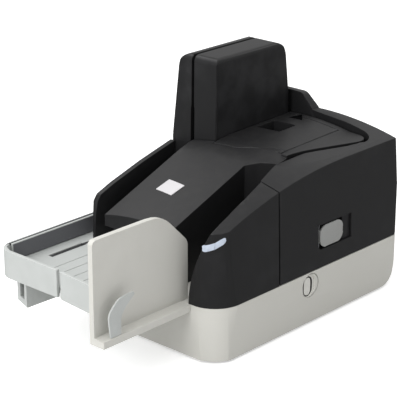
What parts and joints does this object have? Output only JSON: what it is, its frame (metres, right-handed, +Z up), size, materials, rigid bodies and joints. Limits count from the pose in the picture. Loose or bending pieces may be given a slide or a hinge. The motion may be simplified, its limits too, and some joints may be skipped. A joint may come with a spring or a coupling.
{
  "type": "cheque scanner",
  "caption": "Compact cheque scanner with a hinged track cover, hopper, stacker tray, imprinter lid and two upright image towers.",
  "frame": {"origin": "centre of the bounding box's footprint, at the height of the feet's underside", "axes": "+X to the scanner's right side, where the track cover and its lever are; +Y to the rear; +Z up"},
  "size_m": [0.172, 0.322, 0.2],
  "materials": {
    "black_casing": "fine textured black",
    "light_casing": "fine textured warm light grey",
    "pale_tray": "smooth pale grey",
    "grey_plastic": "satin mid grey",
    "dark_plastic": "satin dark grey",
    "lens": "clear pale blue",
    "glass": "dark polished glass",
    "steel": "ground",
    "soft_rubber": "matt",
    "board": "green solder mask",
    "label": "blank pale label"
  },
  "bodies": {
    "casing": {"base_casing": "light_casing", "base_plate": "grey_plastic", "rubber_feet": "soft_rubber", "base_screws": "steel", "main_board": "board", "power_inlet": "dark_plastic", "data_socket": "steel", "drive_motor": "steel", "drive_belts": "soft_rubber", "bearing_plate": "steel", "bearing_posts": "steel", "centre_island": "black_casing", "front_block": "black_casing", "status_lens": "lens", "left_guide_wall": "black_casing", "rear_post": "black_casing", "tower_inner": "black_casing", "tower_outer": "black_casing", "sensor_glass_inner": "glass", "sensor_glass_outer": "glass", "imprint_cartridge": "dark_plastic", "lid_pins": "steel", "hinge_pin": "steel", "hopper_shelf": "pale_tray", "hopper_finger": "grey_plastic", "stacker_tray": "pale_tray", "badge": "label"},
    "cover": {"outer_cover": "black_casing", "lever_pin": "steel", "magnetic_head": "steel"},
    "lever": {"release_lever": "grey_plastic"},
    "lid": {"imprinter_lid": "black_casing"},
    "button": {"power_button": "grey_plastic"},
    "tray_end": {"stacker_end": "light_casing", "stacker_liner": "dark_plastic"},
    "motor_shaft": {"motor_pulley": "steel"},
    "feed_roller": {"feed_shaft": "steel", "feed_tyre": "soft_rubber"},
    "right_roller": {"right_shaft": "steel", "right_tyre": "soft_rubber"},
    "rear_roller": {"rear_shaft": "steel", "rear_tyre": "soft_rubber"},
    "exit_roller": {"exit_shaft": "steel", "exit_tyre": "soft_rubber"},
    "retard": {"retard_roller": "soft_rubber"},
    "pinch_rear": {"rear_pinch": "soft_rubber"},
    "pinch_exit": {"exit_pinch": "soft_rubber"}
  },
  "joints": [
    {"name": "cover_hinge", "type": "hinge", "parent": "casing", "child": "cover", "pos_m": [-0.067, 0.155, 0.095], "axis": [0, 0, 1], "range_deg": [0, 60]},
    {"name": "lever_pivot", "type": "hinge", "parent": "cover", "child": "lever", "pos_m": [0.0814, 0.0562, 0.072], "axis": [0, 0, -1], "range_deg": [0, 28], "stiffness_Nm_per_rad": 0.05, "springref_deg": -2.86},
    {"name": "lid_hinge", "type": "hinge", "parent": "casing", "child": "lid", "pos_m": [0.0374, 0.096, 0.1323], "axis": [0, 1, 0], "range_deg": [0, 90]},
    {"name": "button_press", "type": "slide", "parent": "casing", "child": "button", "axis": [-1, 0, 0], "range_m": [0, 0.0015], "stiffness_N_per_m": 400, "springref_m": -0.0005},
    {"name": "tray_slide", "type": "slide", "parent": "casing", "child": "tray_end", "axis": [0, -1, 0], "range_m": [0, 0.045]},
    {"name": "motor_spin", "type": "hinge", "parent": "casing", "child": "motor_shaft", "pos_m": [-0.006, 0.061, 0.05], "axis": [0, 0, 1], "continuous": true},
    {"name": "feed_spin", "type": "hinge", "parent": "casing", "child": "feed_roller", "pos_m": [0.04085, 0.055, 0.069], "axis": [0, 0, 1], "continuous": true},
    {"name": "right_spin", "type": "hinge", "parent": "casing", "child": "right_roller", "pos_m": [0.04929, 0.08619, 0.069], "axis": [0, 0, 1], "continuous": true},
    {"name": "rear_spin", "type": "hinge", "parent": "casing", "child": "rear_roller", "pos_m": [0.03414, 0.12896, 0.069], "axis": [0, 0, 1], "continuous": true},
    {"name": "exit_spin", "type": "hinge", "parent": "casing", "child": "exit_roller", "pos_m": [-0.03735, 0.015, 0.069], "axis": [0, 0, 1], "continuous": true},
    {"name": "retard_spin", "type": "hinge", "parent": "cover", "child": "retard", "pos_m": [0.06115, 0.055, 0.069], "axis": [0, 0, 1], "continuous": true},
    {"name": "pinch_rear_spin", "type": "hinge", "parent": "cover", "child": "pinch_rear", "pos_m": [0.03568, 0.14519, 0.069], "axis": [0, 0, 1], "continuous": true},
    {"name": "pinch_exit_spin", "type": "hinge", "parent": "casing", "child": "pinch_exit", "pos_m": [-0.05365, 0.015, 0.069], "axis": [0, 0, 1], "continuous": true}
  ],
  "couplings": [
    {"joint": "rear_spin", "follows": "feed_spin", "ratio": 1},
    {"joint": "exit_spin", "follows": "feed_spin", "ratio": 1},
    {"joint": "motor_spin", "follows": "feed_spin", "ratio": 1.1111}
  ]
}
